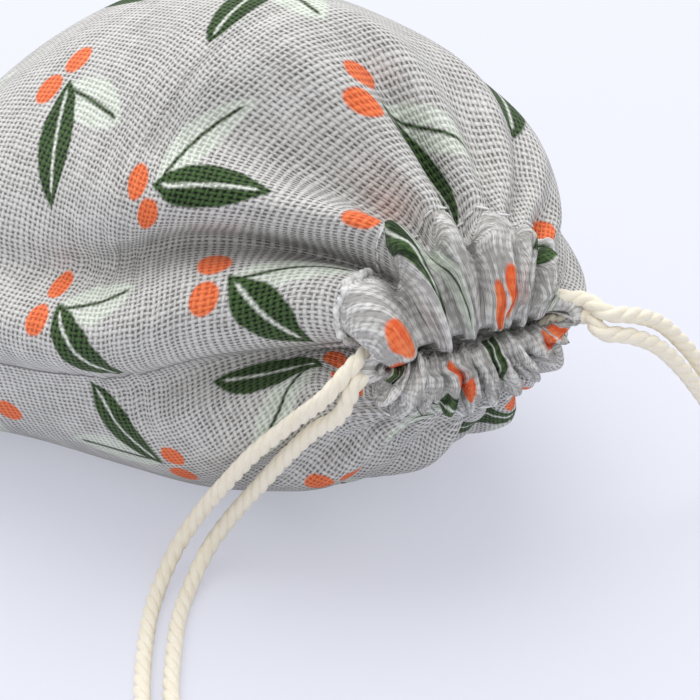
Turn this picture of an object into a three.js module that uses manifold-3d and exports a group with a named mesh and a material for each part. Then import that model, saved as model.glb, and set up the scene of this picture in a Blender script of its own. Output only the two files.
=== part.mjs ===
// A kinchaku: a small cotton-linen drawstring pouch, filled, drawn shut and lying on its side.
// Millimetres, +Z up. +X runs from the bottom seam to the mouth and -Y is the near side seam.
import * as THREE from 'three';
import { mergeVertices } from 'three/addons/utils/BufferGeometryUtils.js';
import Module from 'manifold-3d';

const wasm = await Module();
wasm.setup();

// The cloth as it lies flat and empty: its width between the side seams, the height of the body up to
// the casing's stitching, and the height of the casing.
const flatWidth = 130;
const bodyCloth = 148;
const casingCloth = 17;

// The filled bag. Filling it draws the bottom seam and the gather together.
const filledShare = 0.8615;
const bagLength = filledShare * bodyCloth;
const bottomLevel = 18;
const restLevel = 0;

// The gathered neck: an oval ring, turned and tilted away from the bag's length.
const neckHalfWidth = 17;
const neckRise = 15;
const neckDrop = 13.5;
const neckSide = -12;
const neckLevel = 47.2;
const neckTurn = -40;
const neckTilt = 24;
const neckRoll = 5;
const bagRoll = 7;
const rolledShare = 0.435;
const lipHeight = rolledShare * casingCloth;
const slitHalfHeight = 1.2;
const slitShift = 3;

// Folds in the gathered cloth.
const foldDepth = 5.4;
const foldSwing = 4;
const gatherDraw = 0.55;
const lowerPleats = 12;
const openingDepth = 3.6;
const openingHalfWidth = 6;

// The twisted cotton cords, two of them, each led once round the casing.
const cordDiameter = 2.2;
const fitGap = 0.3;
const loopHalfWidth = 11.5;
const loopShoulder = 14.7;
const loopRise = 5.2;
const loopDrop = 8;
const leftLoopDepth = -1.6;
const rightLoopDepth = 1.2;
const exitReach = 17.6;
const exitHeight = 4.4;
const exitSpread = 3;
const exitLevel = -2.3;
const knotDiameter = 8.4;
const knotLength = 10;
const tailDiameter = 4.2;
const tailLength = 9;
const loopSteps = 20;
const strandSteps = 28;

// How finely the cloth is drawn.
const columns = 150;
const sectionSteps = 180;

const radians = THREE.MathUtils.degToRad;
const clamp = THREE.MathUtils.clamp;
const mix = THREE.MathUtils.lerp;

// Rises smoothly from 0 to 1 as x goes from 0 to 1.
const ease = (x) => {
  const t = clamp(x, 0, 1);
  return t * t * (3 - 2 * t);
};

// A smooth curve through rows of numbers. The first number of each row is its place.
const alongRows = (rows, place) => {
  const last = rows.length - 1;
  const found = rows.findIndex((row) => row[0] > place);
  const k = clamp(found < 0 ? last - 1 : found - 1, 0, last - 1);
  const slope = (i, c) => {
    const a = rows[Math.max(i - 1, 0)];
    const b = rows[Math.min(i + 1, last)];
    return (b[c] - a[c]) / (b[0] - a[0]);
  };
  const step = rows[k + 1][0] - rows[k][0];
  const u = (place - rows[k][0]) / step;
  return rows[k].slice(1).map((value, i) => {
    const c = i + 1;
    const next = rows[k + 1][c];
    const start = (2 * u ** 3 - 3 * u ** 2 + 1) * value + (u ** 3 - 2 * u ** 2 + u) * step * slope(k, c);
    return start + (3 * u ** 2 - 2 * u ** 3) * next + (u ** 3 - u ** 2) * step * slope(k + 1, c);
  });
};

// Sections through the filled bag, from the bottom seam to the gather. Each row holds: share of the
// body's cloth, share of the bag's length, side shift, level of the centre, half width, rise above
// the centre, drop below it, and how square the lower half sags (1 is an ellipse).
const wide = (share) => share * flatWidth;
const sections = [
  [0, 0, 0, bottomLevel, wide(0.454), wide(0.0115), wide(0.0115), 1],
  [0.101, 0.071, 0, wide(0.158), wide(0.427), wide(0.115), wide(0.108), 0.95],
  [0.243, 0.204, 0, wide(0.208), wide(0.388), wide(0.227), wide(0.208), 0.86],
  [0.405, 0.384, 0, wide(0.273), wide(0.35), wide(0.3), wide(0.281), 0.8],
  [0.568, 0.565, -1, wide(0.304), wide(0.323), wide(0.335), wide(0.315), 0.8],
  [0.689, 0.714, -2, wide(0.315), wide(0.304), wide(0.338), wide(0.312), 0.84],
  [0.804, 0.839, -4.5, wide(0.327), wide(0.269), wide(0.3), wide(0.262), 0.92],
  [0.905, 0.933, -8, wide(0.338), wide(0.2), wide(0.208), wide(0.173), 1],
  [1, 1, neckSide, neckLevel, neckHalfWidth, neckRise, neckDrop, 1],
];

// The casing rolls over from the gather into the slit. Each row holds: share of the casing's cloth,
// way forward as a share of the lip's height, half width, rise, drop, and share of the slit's shift.
const lips = [
  [0, 0, neckHalfWidth, neckRise, neckDrop, 0],
  [0.2, 0.46, neckHalfWidth + 0.7, neckRise + 0.5, neckDrop + 0.6, 0.06],
  [0.45, 0.86, neckHalfWidth + 0.6, mix(slitHalfHeight, neckRise, 0.82), mix(slitHalfHeight, neckDrop, 0.84), 0.25],
  [0.7, 1, neckHalfWidth, mix(slitHalfHeight, neckRise, 0.47), mix(slitHalfHeight, neckDrop, 0.5), 0.6],
  [0.9, 0.86, neckHalfWidth - 0.8, mix(slitHalfHeight, neckRise, 0.13), mix(slitHalfHeight, neckDrop, 0.14), 0.9],
  [1, 0.62, neckHalfWidth - 1.4, slitHalfHeight, slitHalfHeight, 1],
];

// The axes of a section: forward out of the mouth, across to the far seam, and up.
const sectionAxes = (turn, tilt, roll) => {
  const flat = Math.cos(radians(tilt));
  const forward = new THREE.Vector3(
    Math.cos(radians(turn)) * flat,
    Math.sin(radians(turn)) * flat,
    Math.sin(radians(tilt)),
  );
  const level = new THREE.Vector3(-Math.sin(radians(turn)), Math.cos(radians(turn)), 0);
  const upright = forward.clone().cross(level);
  const across = level.clone().applyAxisAngle(forward, radians(roll));
  const up = upright.applyAxisAngle(forward, radians(roll));
  return { forward, across, up };
};

const neckCentre = new THREE.Vector3(bagLength, neckSide, neckLevel);
const neckAxes = sectionAxes(neckTurn, neckTilt, neckRoll);

// A point given in the neck's own axes.
const atNeck = (across, up, forward) => neckCentre.clone()
  .addScaledVector(neckAxes.across, across)
  .addScaledVector(neckAxes.up, up)
  .addScaledVector(neckAxes.forward, forward);

// One section's centre, axes and sizes. The way runs from 0 at the bottom seam to 1 at the gather,
// and on to 2 at the slit.
const sectionAt = (way) => {
  if (way > 1) {
    const [forward, halfWidth, rise, drop, shift] = alongRows(lips, way - 1);
    const centre = atNeck(0, -slitShift * shift, lipHeight * forward);
    return { centre, ...neckAxes, halfWidth, rise, drop, square: 1 };
  }
  const [along, side, level, halfWidth, rise, drop, square] = alongRows(sections, way);
  const bend = ease((way - 0.5) / 0.49);
  const axes = sectionAxes(neckTurn * bend, neckTilt * bend, mix(bagRoll, neckRoll, bend));
  return { centre: new THREE.Vector3(bagLength * along, side, level), ...axes, halfWidth, rise, drop, square };
};

// Half of a section's outline, from the near seam over the top or back under the bag, as points
// with their distances along it.
const halfOutline = (section, lower) => {
  const points = [];
  const lengths = [];
  for (let i = 0; i <= sectionSteps; i += 1) {
    const angle = Math.PI * (i / sectionSteps + (lower ? 1 : 0));
    const power = lower ? section.square : 1;
    const c = Math.sign(Math.cos(angle)) * Math.abs(Math.cos(angle)) ** power;
    const s = Math.sign(Math.sin(angle)) * Math.abs(Math.sin(angle)) ** power;
    const point = section.centre.clone()
      .addScaledVector(section.across, -section.halfWidth * c)
      .addScaledVector(section.up, (lower ? section.drop : section.rise) * s);
    point.z = Math.max(point.z, restLevel);
    lengths.push(i === 0 ? 0 : lengths[i - 1] + point.distanceTo(points[i - 1]));
    points.push(point);
  }
  return { points, lengths };
};

const outlines = new Map();
const outlineAt = (way) => {
  if (!outlines.has(way)) {
    const section = sectionAt(way);
    outlines.set(way, [halfOutline(section, false), halfOutline(section, true)]);
  }
  return outlines.get(way);
};

// The smooth bag's surface. Place runs round the section, 0 to 1 over the top and 1 to 2 below.
const smoothPoint = (way, place) => {
  const turn = ((place % 2) + 2) % 2;
  const half = turn < 1 ? 0 : 1;
  const { points, lengths } = outlineAt(way)[half];
  const target = (turn - half) * lengths[sectionSteps];
  let low = 0;
  let high = sectionSteps;
  while (high - low > 1) {
    const middle = (low + high) >> 1;
    if (lengths[middle] <= target) low = middle;
    else high = middle;
  }
  const share = (target - lengths[low]) / Math.max(lengths[high] - lengths[low], 1e-9);
  return points[low].clone().lerp(points[high], share);
};

const smoothNormal = (way, place) => {
  const side = 0.004;
  const wayBack = Math.max(way - side, 0);
  const wayOn = Math.min(way + side, 2);
  const round = smoothPoint(way, place + side).sub(smoothPoint(way, place - side));
  const along = smoothPoint(wayOn, place).sub(smoothPoint(wayBack, place));
  return along.cross(round).normalize();
};

// The long folds that run from the gather back over the bag. Each row holds: place at the neck,
// place where the fold dies out, half width at the neck and there, how far along the body's cloth it
// starts, and its depth as a share of the full fold depth. The first two together are the wide
// roll beside the near seam.
const folds = [
  [0.072, 0.045, 0.08, 0.065, 0.1, 1.05],
  [0.172, 0.09, 0.085, 0.055, 0.1, 1.15],
  [0.36, 0.18, 0.06, 0.055, 0.5, 1.4],
  [0.508, 0.5, 0.055, 0.075, 0.68, 1.1],
  [0.645, 0.605, 0.05, 0.06, 0.62, 1],
  [0.7, 0.755, 0.035, 0.055, 0.66, 0.9],
  [0.765, 0.845, 0.04, 0.06, 0.66, 1],
  [0.86, 0.9, 0.045, 0.06, 0.7, 0.85],
];

// The lower panel's folds are even: long ones and short ones in turn.
const lowerFolds = Array.from({ length: lowerPleats }, (_, k) => {
  const spacing = 1 / (lowerPleats + 1);
  const place = 1 + (k + 1) * spacing;
  return [place, place, spacing * 0.52, spacing * 0.8, k % 2 ? 0.88 : 0.72, 0.75];
});

// The valleys between the long folds, the hollow under the near seam, and the full bulge below it.
const hollows = [
  [0.266, 0.115, 0.03, 0.045, 0.25, -1.3],
  [0.43, 0.34, 0.04, 0.07, 0.6, -0.6],
  [0.575, 0.56, 0.03, 0.05, 0.66, -0.6],
  [1.94, 1.985, 0.045, 0.05, 0.5, -1.1],
  [1.8, 1.93, 0.12, 0.16, 0.45, 0.5],
];

const nearest = (a, b) => {
  const d = ((a - b) % 2 + 2) % 2;
  return d > 1 ? d - 2 : d;
};

// How far the folds raise the surface at a place. A fold swings round to its place at the neck only
// near the neck, and the valleys grow shallow there, over the cords.
const foldHeight = (way, place) => {
  const inCasing = clamp(way - 1, 0, 1);
  const overWay = Math.min(way, 1);
  let height = -gatherDraw * foldDepth * ease((overWay - 0.74) / 0.26) * (1 - 0.6 * inCasing);
  for (const [neckPlace, endPlace, neckWidth, endWidth, start, depth] of [...folds, ...lowerFolds, ...hollows]) {
    const grown = clamp((overWay - start) / (1 - start), 0, 1);
    const middle = mix(endPlace, neckPlace, grown ** foldSwing);
    const width = mix(endWidth, neckWidth, grown);
    const off = nearest(place, middle) / width;
    if (Math.abs(off) < 1) {
      const swell = Math.cos((Math.PI / 2) * off) ** 1.3;
      const shallow = 1 - 0.5 * ease((overWay - 0.92) / 0.08);
      const rolled = depth < 0 ? (1 - inCasing) * shallow : 1 - 0.5 * inCasing;
      height += depth * foldDepth * ease(grown * 1.25) * swell * rolled;
    }
  }
  return height;
};

// The casing is open at both side seams, where the cords come out.
const openingHeight = (way, place) => {
  const inCasing = clamp(way - 1, 0, 1);
  const width = openingHalfWidth / flatWidth;
  const near = nearest(place, 0) / width;
  const far = nearest(place, 1) / width;
  const notch = Math.exp(-near * near) + Math.exp(-far * far);
  return -openingDepth * notch * ease(inCasing * 4) * (1 - 0.7 * inCasing);
};

// The folded surface: folds stand along the smooth surface's own normal and never below the rest.
const clothPoint = (way, place) => {
  const lift = foldHeight(way, place) + openingHeight(way, place);
  const slit = way > 1.85 ? Math.max(lift, -0.4 * slitHalfHeight) : lift;
  const point = smoothPoint(way, place).addScaledVector(smoothNormal(way, place), slit);
  point.z = Math.max(point.z, restLevel);
  return point;
};

// Ways of the cloth's cross rows: open over the belly, close at the folds and round the lips.
const rowWays = [
  0, 0.05, 0.12, 0.2, 0.29, 0.38, 0.47, 0.55, 0.62, 0.68, 0.73, 0.78, 0.82, 0.86, 0.89, 0.92, 0.95,
  0.975, 1, 1.1, 1.22, 1.36, 1.5, 1.65, 1.8, 1.9, 1.97,
];

// The filled bag is one closed body: rows of points, with the bottom seam and the slit closed by
// joining each upper point to the lower one across from it.
const clothGeometry = () => {
  const positions = [];
  for (const way of rowWays) {
    for (let j = 0; j < columns; j += 1) positions.push(...clothPoint(way, (2 * j) / columns));
  }
  const faces = [];
  const at = (row, column) => row * columns + ((column + columns) % columns);
  for (let row = 0; row + 1 < rowWays.length; row += 1) {
    for (let j = 0; j < columns; j += 1) {
      faces.push(at(row, j), at(row + 1, j), at(row, j + 1));
      faces.push(at(row, j + 1), at(row + 1, j), at(row + 1, j + 1));
    }
  }
  const closeRow = (row, flip) => {
    for (let j = 0; j < columns / 2; j += 1) {
      const quad = [at(row, j), at(row, j + 1), at(row, -j - 1), at(row, -j)];
      const tris = [[quad[0], quad[1], quad[2]], [quad[0], quad[2], quad[3]]];
      for (const tri of tris) {
        if (new Set(tri).size === 3) faces.push(...(flip ? [tri[0], tri[2], tri[1]] : tri));
      }
    }
  };
  closeRow(0, false);
  closeRow(rowWays.length - 1, true);
  const geometry = new THREE.BufferGeometry();
  geometry.setAttribute('position', new THREE.Float32BufferAttribute(positions, 3));
  geometry.setIndex(faces);
  return geometry;
};

// A round tube along points, with flat ends square to its run.
const tubeGeometry = (points, diameter, steps, sides = 8) => {
  const ring = Array.from({ length: sides }, (_, k) => {
    const angle = (2 * Math.PI * (k + 0.5)) / sides;
    return new THREE.Vector2(Math.cos(angle), Math.sin(angle)).multiplyScalar(diameter / 2);
  });
  const path = new THREE.CatmullRomCurve3(points, false, 'centripetal');
  return new THREE.ExtrudeGeometry(new THREE.Shape(ring), { steps, extrudePath: path, bevelEnabled: false });
};

const solidOf = (geometry) => {
  const bare = geometry.clone();
  bare.deleteAttribute('normal');
  bare.deleteAttribute('uv');
  const merged = mergeVertices(bare, 1e-5);
  return new wasm.Manifold(new wasm.Mesh({
    numProp: 3,
    vertProperties: new Float32Array(merged.attributes.position.array),
    triVerts: new Uint32Array(merged.index.array),
  }));
};

const geometryOf = (solid) => {
  const mesh = solid.getMesh();
  const geometry = new THREE.BufferGeometry();
  geometry.setAttribute('position', new THREE.BufferAttribute(mesh.vertProperties, 3));
  geometry.setIndex(new THREE.BufferAttribute(mesh.triVerts, 1));
  return geometry;
};

// A cord's run round the casing, from its exit at one side seam and back to it. Side is -1 for the
// left cord, which comes out at the near seam, and 1 for the right cord.
const loopPoints = (side, depth) => [
  atNeck(side * exitReach, exitLevel + exitSpread / 2, exitHeight),
  atNeck(side * loopShoulder, exitLevel + 1 + exitSpread / 2, mix(depth, exitHeight, 0.7)),
  atNeck(side * (loopHalfWidth - 1.5), 0.6 * loopRise, depth),
  atNeck(side * loopHalfWidth * 0.45, loopRise, depth),
  atNeck(-side * loopHalfWidth * 0.4, loopRise, depth),
  atNeck(-side * (loopHalfWidth - 3), 0.5 * loopRise, depth),
  atNeck(-side * (loopHalfWidth - 1.4), -0.2 * loopDrop, depth),
  atNeck(-side * (loopHalfWidth - 3), -0.75 * loopDrop, depth),
  atNeck(-side * loopHalfWidth * 0.4, -loopDrop, depth),
  atNeck(side * loopHalfWidth * 0.45, -loopDrop, depth),
  atNeck(side * (loopHalfWidth - 1.5), -0.8 * loopDrop, depth),
  atNeck(side * loopShoulder, exitLevel + 0.4 - exitSpread / 2, mix(depth, exitHeight, 0.7)),
  atNeck(side * exitReach, exitLevel - exitSpread / 2, exitHeight),
];

// The free strands' routes, chosen by hand: out of the opening, down the bag's side and over the
// surface that it lies on to the knot.
const strandRoutes = {
  left_strand_a: [
    [117, -34.6, 41.6], [111.2, -34.8, 35], [104.8, -36.8, 27.6], [99.4, -38.2, 20], [94, -39.6, 11.6], [91, -42.6, 5],
    [92, -48.6, 1.9], [95.2, -55.4, 1.4], [100.8, -64, 1.4], [106, -70.8, 1.4], [112.4, -77.6, 1.4],
    [120.2, -83.4, 1.4], [129.4, -87.4, 1.4], [139, -89.2, 1.5], [145.4, -89.6, 2.2],
  ],
  left_strand_b: [
    [119, -33.2, 38.4], [113.8, -33.2, 33], [108.4, -33.8, 26], [103.4, -35, 18.6], [98.2, -36.8, 10.6], [95.6, -40, 5],
    [96, -45, 1.9], [98.8, -52, 1.4], [104, -60.4, 1.4], [109.4, -67.8, 1.4], [115.6, -74, 1.4],
    [122.8, -79.4, 1.4], [131, -83.4, 1.4], [139.6, -86, 1.5], [145.6, -87, 2.2],
  ],
  right_strand_a: [
    [147.4, -0.4, 48.8], [150.6, 3.4, 47.2], [152.6, 7.8, 44], [155, 12.4, 38], [157.2, 17.2, 30],
    [159, 22.4, 20], [160, 27.4, 10.4], [161.4, 32.4, 3.6], [164.4, 38.6, 1.4], [168.4, 47, 1.4],
    [169.4, 57, 1.4], [166, 66.6, 1.4], [158.8, 74, 1.5], [154, 77.4, 2.2],
  ],
  right_strand_b: [
    [147.4, -1.8, 46], [151, 1.6, 44.4], [153.4, 5.8, 41], [155.8, 10.2, 35], [158.2, 14.8, 27],
    [160.4, 20, 17.4], [161.8, 25.2, 8.6], [164, 30.6, 2.8], [167.8, 37.2, 1.4], [171.8, 46.4, 1.4],
    [172.6, 57.6, 1.4], [168.8, 68.2, 1.4], [161, 76.2, 1.5], [155.6, 79.6, 2.2],
  ],
};

// A strand carries straight on from the loop's end before it turns down.
const strandPoints = (name, side, depth, upper) => {
  const loop = loopPoints(side, depth);
  const [end, inner] = upper ? [loop[0], loop[1]] : [loop.at(-1), loop.at(-2)];
  const run = end.clone().sub(inner).normalize();
  const straight = [fitGap, cordDiameter].map((reach) => end.clone().addScaledVector(run, reach));
  return [...straight, ...strandRoutes[name].map((p) => new THREE.Vector3(...p))];
};

// An overhand knot's outer shape with the two cut ends beyond it, as one turned body.
const knotGeometry = () => {
  const knotRadius = knotDiameter / 2;
  const tailRadius = tailDiameter / 2;
  const outline = [
    [0, 0], [cordDiameter * 1.1, 0], [knotRadius, knotLength * 0.3], [knotRadius, knotLength * 0.7],
    [tailRadius * 1.2, knotLength], [tailRadius, knotLength * 1.04],
    [tailRadius, knotLength + tailLength], [0, knotLength + tailLength],
  ];
  return new THREE.LatheGeometry(outline.map(([radius, rise]) => new THREE.Vector2(radius, rise)), 14);
};

const clothMaterial = new THREE.MeshStandardMaterial({ color: 0xb9bbb8, roughness: 0.95, metalness: 0 });
const cordMaterial = new THREE.MeshStandardMaterial({ color: 0xf1e6cf, roughness: 0.9, metalness: 0 });

const pouch = new THREE.Group();
const place = (name, geometry, material) => {
  const mesh = new THREE.Mesh(geometry, material);
  mesh.name = name;
  pouch.add(mesh);
  return mesh;
};

// The cords' channels are cut through the gathered neck with room for the cord to slide.
const cords = [
  { name: 'left', side: -1, depth: leftLoopDepth },
  { name: 'right', side: 1, depth: rightLoopDepth },
];
const channelDiameter = cordDiameter + 2 * fitGap;
const mouthDiameter = exitSpread + channelDiameter;
const channel = ({ side, depth }) => {
  const points = loopPoints(side, depth);
  const end = points[0].clone().lerp(points.at(-1), 0.5);
  const inner = points[1].clone().lerp(points.at(-2), 0.5);
  const out = end.clone().add(end.clone().sub(inner).normalize().multiplyScalar(2 * cordDiameter));
  const mouth = solidOf(tubeGeometry([inner, out], mouthDiameter, 1, 12));
  return solidOf(tubeGeometry(points, channelDiameter, loopSteps)).add(mouth);
};
const bag = cords.reduce((solid, cord) => solid.subtract(channel(cord)), solidOf(clothGeometry()));

// A cut that grazes a fold can leave a crumb beside the opening, so only the bag itself is kept.
const [wholeBag] = bag.decompose().sort((a, b) => b.volume() - a.volume());
place('pouch_cloth', geometryOf(wholeBag), clothMaterial);

for (const { name, side, depth } of cords) {
  place(`${name}_drawcord_loop`, tubeGeometry(loopPoints(side, depth), cordDiameter, loopSteps), cordMaterial);
  const routes = ['a', 'b'].map((strand) => {
    const points = strandPoints(`${name}_strand_${strand}`, side, depth, strand === 'a');
    place(`${name}_strand_${strand}`, tubeGeometry(points, cordDiameter, strandSteps), cordMaterial);
    return points;
  });

  // The knot carries on where both strands end, and rests on the surface.
  const [ends, befores] = [-1, -2].map((i) => routes[0].at(i).clone().lerp(routes[1].at(i), 0.5));
  const run = ends.clone().sub(befores).setZ(0).normalize();
  const knot = place(`${name}_knot`, knotGeometry(), cordMaterial);
  knot.quaternion.setFromUnitVectors(new THREE.Vector3(0, 1, 0), run);
  knot.position.copy(ends).addScaledVector(run, 2 * fitGap).setZ(restLevel + knotDiameter / 2 + fitGap);
}

// The origin is under the middle of the bag, on the surface that it rests on.
const extent = new THREE.Box3().setFromBufferAttribute(pouch.getObjectByName('pouch_cloth').geometry.attributes.position);
const middle = extent.getCenter(new THREE.Vector3());
pouch.position.set(-middle.x, -middle.y, -extent.min.z);

export default pouch;
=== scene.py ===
# %% [markdown]
# A kinchaku is a small cotton-linen pouch that two cords draw shut. This one is filled and lies on
# its side. The notebook dresses the plain model of it: cloth with real folds, a weave, a print,
# sewing thread and twisted cords. Sizes are in millimetres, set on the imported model's own place.

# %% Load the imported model
import math

import bpy
import numpy as np
from mathutils import Matrix, Vector


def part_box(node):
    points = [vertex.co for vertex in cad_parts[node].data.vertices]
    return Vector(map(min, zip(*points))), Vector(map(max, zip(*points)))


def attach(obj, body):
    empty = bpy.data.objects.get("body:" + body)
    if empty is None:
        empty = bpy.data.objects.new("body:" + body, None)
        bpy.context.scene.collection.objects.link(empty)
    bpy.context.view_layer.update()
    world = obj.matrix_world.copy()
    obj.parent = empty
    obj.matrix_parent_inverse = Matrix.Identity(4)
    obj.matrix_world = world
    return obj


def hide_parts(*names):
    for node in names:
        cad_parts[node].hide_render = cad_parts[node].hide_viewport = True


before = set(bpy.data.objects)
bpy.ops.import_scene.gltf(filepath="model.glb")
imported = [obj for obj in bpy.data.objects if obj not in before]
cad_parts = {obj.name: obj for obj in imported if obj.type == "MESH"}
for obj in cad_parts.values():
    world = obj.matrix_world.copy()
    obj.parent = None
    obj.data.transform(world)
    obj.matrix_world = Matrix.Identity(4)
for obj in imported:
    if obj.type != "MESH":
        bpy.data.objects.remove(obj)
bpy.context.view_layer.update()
scene = bpy.context.scene
MM = 0.001
print("nodes:", sorted(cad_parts))

# %% [markdown]
# The camera stands where the photograph was taken from: in front of the near seam, looking down
# over the mouth. It could be aimed straight at the mouth, but the photograph shows the mouth right
# of its middle, so the view is slid sideways with the camera's shift, which keeps the perspective.

# %% Camera
IMAGE_SIDE = 700
CAMERA_AZIMUTH = math.radians(32)
CAMERA_ELEVATION = math.radians(35)
FIELD_OF_VIEW = math.radians(17)
PIXELS_PER_MM = 6.35
MOUTH_PIXEL = (470, 318)

cloth_low, cloth_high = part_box("pouch_cloth")
# The bottom seam is at x = 0 in the cloth's own numbers below, and the bag's middle line is y = 0.
BAG_ORIGIN = Vector((cloth_low.x, (cloth_low.y + cloth_high.y) / 2, cloth_low.z))
MOUTH_TARGET = BAG_ORIGIN + Vector((129.5, -12, 48)) * MM

towards_camera = Vector((
    math.sin(CAMERA_AZIMUTH) * math.cos(CAMERA_ELEVATION),
    -math.cos(CAMERA_AZIMUTH) * math.cos(CAMERA_ELEVATION),
    math.sin(CAMERA_ELEVATION),
))
focal_pixels = IMAGE_SIDE / 2 / math.tan(FIELD_OF_VIEW / 2)
camera_distance = focal_pixels / PIXELS_PER_MM * MM

camera_data = bpy.data.cameras.new("photo_camera")
camera_data.angle = FIELD_OF_VIEW
camera_data.sensor_fit = "HORIZONTAL"
camera_data.clip_start = 0.01
camera_data.shift_x = (IMAGE_SIDE / 2 - MOUTH_PIXEL[0]) / IMAGE_SIDE
camera_data.shift_y = (MOUTH_PIXEL[1] - IMAGE_SIDE / 2) / IMAGE_SIDE
camera = bpy.data.objects.new("photo_camera", camera_data)
camera.location = MOUTH_TARGET + towards_camera * camera_distance
camera.rotation_euler = towards_camera.to_track_quat("Z", "Y").to_euler()
scene.collection.objects.link(camera)
scene.camera = camera
print("camera", round(camera_distance, 3), "m from the mouth")

# %% [markdown]
# Materials are written as sums. A small class wraps one output of a material's node tree, so that
# a mask can be written as `1 - rim * 0.5` and each operator adds its own Math node.

# %% Node helpers
class Number:
    """One number that varies over a surface."""

    def __init__(self, finish, socket):
        self.finish = finish
        self.socket = socket

    def __add__(self, other):
        return self.finish.math("ADD", self, other)

    def __sub__(self, other):
        return self.finish.math("SUBTRACT", self, other)

    def __rsub__(self, other):
        return self.finish.math("SUBTRACT", other, self)

    def __mul__(self, other):
        return self.finish.math("MULTIPLY", self, other)

    def __truediv__(self, other):
        return self.finish.math("DIVIDE", self, other)

    def __rtruediv__(self, other):
        return self.finish.math("DIVIDE", other, self)

    def __mod__(self, other):
        return self.finish.math("FLOORED_MODULO", self, other)

    __radd__ = __add__
    __rmul__ = __mul__


class Finish:
    """One material, with one method for each kind of step that its nodes take."""

    def __init__(self, name):
        self.material = bpy.data.materials.new(name)
        self.material.use_nodes = True
        self.tree = self.material.node_tree
        self.tree.nodes.clear()
        self.output = self.tree.nodes.new("ShaderNodeOutputMaterial")

    def plug(self, socket, value):
        if isinstance(value, Number):
            self.tree.links.new(value.socket, socket)
        else:
            socket.default_value = value

    def node(self, kind, settings, inputs):
        made = self.tree.nodes.new(kind)
        for name, value in settings.items():
            setattr(made, name, value)
        for key, value in inputs.items():
            self.plug(made.inputs[key], value)
        return made

    def out(self, node, name):
        return Number(self, node.outputs[name])

    def math(self, operation, *values):
        node = self.node("ShaderNodeMath", {"operation": operation}, dict(enumerate(values)))
        return self.out(node, 0)

    def step(self, value, low, high):
        """0 below low, 1 above high, smooth between them."""
        node = self.node(
            "ShaderNodeMapRange",
            {"interpolation_type": "SMOOTHSTEP"},
            {"Value": value, "From Min": low, "From Max": high},
        )
        return self.out(node, "Result")

    def colour(self, mask, first, second):
        """The first colour where the mask is 0, the second where it is 1."""
        node = self.node("ShaderNodeMix", {"data_type": "RGBA"}, {0: mask, 6: first, 7: second})
        return Number(self, node.outputs[2])

    def parts(self, vector):
        node = self.node("ShaderNodeSeparateXYZ", {}, {0: vector})
        return [self.out(node, axis) for axis in ("X", "Y", "Z")]

    def uv(self, name):
        return self.out(self.node("ShaderNodeUVMap", {"uv_map": name}, {}), 0)

    def object_place(self):
        return self.out(self.node("ShaderNodeTexCoord", {}, {}), "Object")

    def vector(self, x, y, z=0.0):
        return self.out(self.node("ShaderNodeCombineXYZ", {}, {0: x, 1: y, 2: z}), 0)

    def noise(self, vector, scale, detail=2.0):
        node = self.node(
            "ShaderNodeTexNoise", {}, {"Vector": vector, "Scale": scale, "Detail": detail}
        )
        return self.out(node, 0)

    def surface(self, colour, height, distance, roughness=0.9, sheen=0.0, strength=1.0):
        bump = self.node(
            "ShaderNodeBump", {}, {"Height": height, "Distance": distance, "Strength": strength}
        )
        shader = self.node(
            "ShaderNodeBsdfPrincipled",
            {},
            {
                "Base Color": colour,
                "Roughness": roughness,
                "Specular IOR Level": 0.2,
                "Sheen Weight": sheen,
                "Normal": self.out(bump, 0),
            },
        )
        self.tree.links.new(shader.outputs[0], self.output.inputs["Surface"])
        return self.material


def srgb(red, green, blue):
    """A colour as it is read off a picture, 0 to 255, turned into the linear one that nodes take."""
    shares = [value / 255 for value in (red, green, blue)]
    linear = [share / 12.92 if share < 0.043 else ((share + 0.055) / 1.055) ** 2.4 for share in shares]
    return (*linear, 1.0)


# %% [markdown]
# The filled bag's shape follows a rule, as a lofted hull does: sections from the bottom seam to the
# gathered neck, then the casing that rolls over into the slit of the mouth. A cloth simulation from
# two flat panels could find such a shape, but its folds would fall where they like. Here the large
# folds are stated, and the cloth settles over them later. The numbers are the model's, in millimetres.

# %% The bag's sections
FLAT_WIDTH = 130
BODY_CLOTH = 148
CASING_CLOTH = 17
FILLED_SHARE = 0.8615
BAG_LENGTH = FILLED_SHARE * BODY_CLOTH
BOTTOM_LEVEL = 18
NECK_HALF_WIDTH = 17
NECK_RISE = 15
NECK_DROP = 13.5
NECK_SIDE = -12
NECK_LEVEL = 47.2
NECK_TURN = -40
NECK_TILT = 24
NECK_ROLL = 5
BAG_ROLL = 7
BEND_FROM = 0.5
BEND_TO = 0.99
LIP_HEIGHT = 0.435 * CASING_CLOTH
SLIT_HALF_HEIGHT = 0.8
SLIT_SHIFT = 3
FOLD_DEPTH = 5.4
FOLD_SWING = 4
GATHER_DRAW = 0.55
LOWER_PLEATS = 12
OPENING_DEPTH = 5
OPENING_HALF_WIDTH = 6.5


def mix(a, b, share):
    return a + (b - a) * share


def ease(x):
    """Rises smoothly from 0 to 1 as x goes from 0 to 1."""
    t = np.clip(x, 0, 1)
    return t * t * (3 - 2 * t)


def from_to(low, high, value):
    """Rises smoothly from 0 at low to 1 at high."""
    return ease((value - low) / (high - low))


def wide(share):
    return share * FLAT_WIDTH


def run_lengths(points):
    """How far along a run of points each of them lies."""
    return np.r_[0, np.cumsum(np.linalg.norm(np.diff(points, axis=0), axis=1))]


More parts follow.
